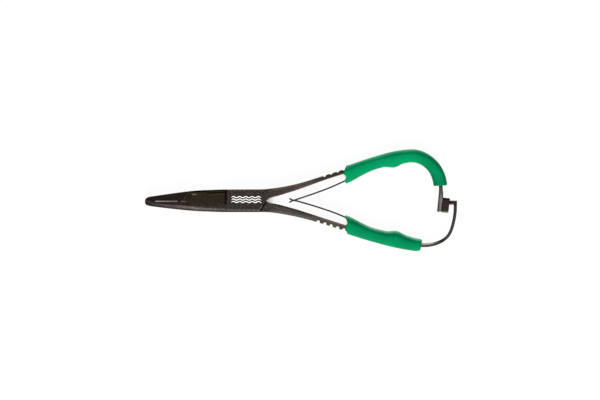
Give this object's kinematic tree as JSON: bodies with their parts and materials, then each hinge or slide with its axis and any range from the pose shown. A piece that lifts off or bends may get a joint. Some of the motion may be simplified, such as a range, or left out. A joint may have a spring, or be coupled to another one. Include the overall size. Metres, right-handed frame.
{
  "type": "fishing pliers",
  "caption": "Self-locking fishing pliers: slim jaws with scissor blades behind them, leaf springs between coated handles, and a hooked rod that catches a ratchet.",
  "frame": {"origin": "on the pivot axis, where it meets the flat front face of the joint", "axes": "+X from the pivot towards the handles, +Y towards the curved upper handle, +Z out of the tool's front face; drawn closed and lying flat"},
  "size_m": [0.1399, 0.0457, 0.0063],
  "materials": {
    "steel_front": "black oxide, brushed satin, ground darker at the blade",
    "steel_rear": "black oxide, brushed satin, ground darker at the blade",
    "screw_steel": "black oxide screw, slotted",
    "spring_steel": "dark tempered spring strip",
    "grip_vinyl": "green dipped vinyl, satin",
    "block_steel": "black oxide, machined teeth on the back",
    "rivet_steel": "peened, dark",
    "rod_steel": "black spring wire, satin"
  },
  "bodies": {
    "front": {"front_half": "steel_front", "pivot_screw": "screw_steel", "upper_spring_screw": "screw_steel", "upper_grip": "grip_vinyl", "ratchet_block": "block_steel", "ratchet_rivets": "rivet_steel"},
    "rear": {"rear_half": "steel_rear", "lower_spring_screw": "screw_steel", "lower_grip": "grip_vinyl", "catch_rod_pin": "screw_steel"},
    "upper_leaf": {"upper_leaf_spring": "spring_steel"},
    "lower_leaf": {"lower_leaf_spring": "spring_steel"},
    "catch": {"catch_rod": "rod_steel"}
  },
  "joints": [
    {"name": "jaw_pivot", "type": "hinge", "parent": "front", "child": "rear", "pos_m": [0, 0, -0.0024], "axis": [0, 0, -1], "range_deg": [0, 24]},
    {"name": "upper_leaf_flex", "type": "hinge", "parent": "front", "child": "upper_leaf", "pos_m": [0.0452, 0.00905, -0.0024], "axis": [0, 0, 1], "range_deg": [0, 14], "deforming": ["upper_leaf_spring"]},
    {"name": "lower_leaf_flex", "type": "hinge", "parent": "rear", "child": "lower_leaf", "pos_m": [0.0452, -0.00743, -0.0024], "axis": [0, 0, -1], "range_deg": [0, 14], "deforming": ["lower_leaf_spring"]},
    {"name": "catch_flex", "type": "hinge", "parent": "rear", "child": "catch", "pos_m": [0.0755, -0.01928, -0.0024], "axis": [-0.1771, -0.9842, 0], "range_deg": [-5, 2.6], "stiffness_Nm_per_rad": 0.02}
  ],
  "couplings": [
    {"joint": "upper_leaf_flex", "follows": "jaw_pivot", "ratio": 0.58},
    {"joint": "lower_leaf_flex", "follows": "jaw_pivot", "ratio": 0.58}
  ]
}
